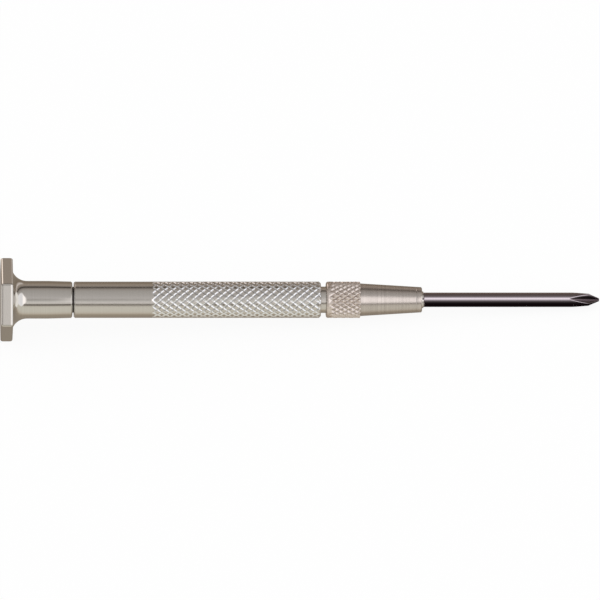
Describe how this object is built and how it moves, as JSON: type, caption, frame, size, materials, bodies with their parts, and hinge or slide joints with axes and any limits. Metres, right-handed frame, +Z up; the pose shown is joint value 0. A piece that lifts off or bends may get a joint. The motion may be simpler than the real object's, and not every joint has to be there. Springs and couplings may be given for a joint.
{
  "type": "watchmaker screwdriver",
  "caption": "Jeweller's screwdriver with a swivelling hexagonal finger rest, a knurled round barrel, a collet chuck and a removable cross-point blade.",
  "frame": {"origin": "centre of the flat finger face of the swivel head, on the tool's axis", "axes": "+X along the tool's axis from the finger face towards the point, +Z up, with one flat of the hexagon facing straight down (-Z)"},
  "size_m": [0.0989, 0.014, 0.0122],
  "materials": {
    "plated_head": "bright nickel plate, finely turned",
    "plated_barrel": "bright nickel plate over a diamond knurl",
    "plated_nut": "satin nickel plate, finely turned",
    "collet_steel": "turned spring steel",
    "bearing_steel": "ground and polished",
    "ring_steel": "drawn spring wire",
    "blade_steel": "hardened, dark and polished"
  },
  "bodies": {
    "handle": {"barrel": "plated_barrel", "swivel_post": "bearing_steel", "thrust_ball": "bearing_steel"},
    "head": {"swivel_head": "plated_head", "retaining_ring": "ring_steel"},
    "collet": {"collet": "collet_steel"},
    "nut": {"chuck_nut": "plated_nut"},
    "blade": {"blade": "blade_steel"}
  },
  "joints": [
    {"name": "head_spin", "type": "hinge", "parent": "handle", "child": "head", "pos_m": [0.008, 0, 0], "axis": [1, 0, 0], "continuous": true},
    {"name": "nut_travel", "type": "slide", "parent": "handle", "child": "collet", "axis": [1, 0, 0], "range_m": [0, 0.003]},
    {"name": "nut_turn", "type": "hinge", "parent": "collet", "child": "nut", "pos_m": [0.06, 0, 0], "axis": [1, 0, 0], "range_deg": [0, 2160]},
    {"name": "blade_draw", "type": "slide", "parent": "handle", "child": "blade", "axis": [1, 0, 0], "range_m": [0, 0.019]}
  ],
  "couplings": [
    {"joint": "nut_turn", "follows": "nut_travel", "rad_per_m": 12566}
  ]
}
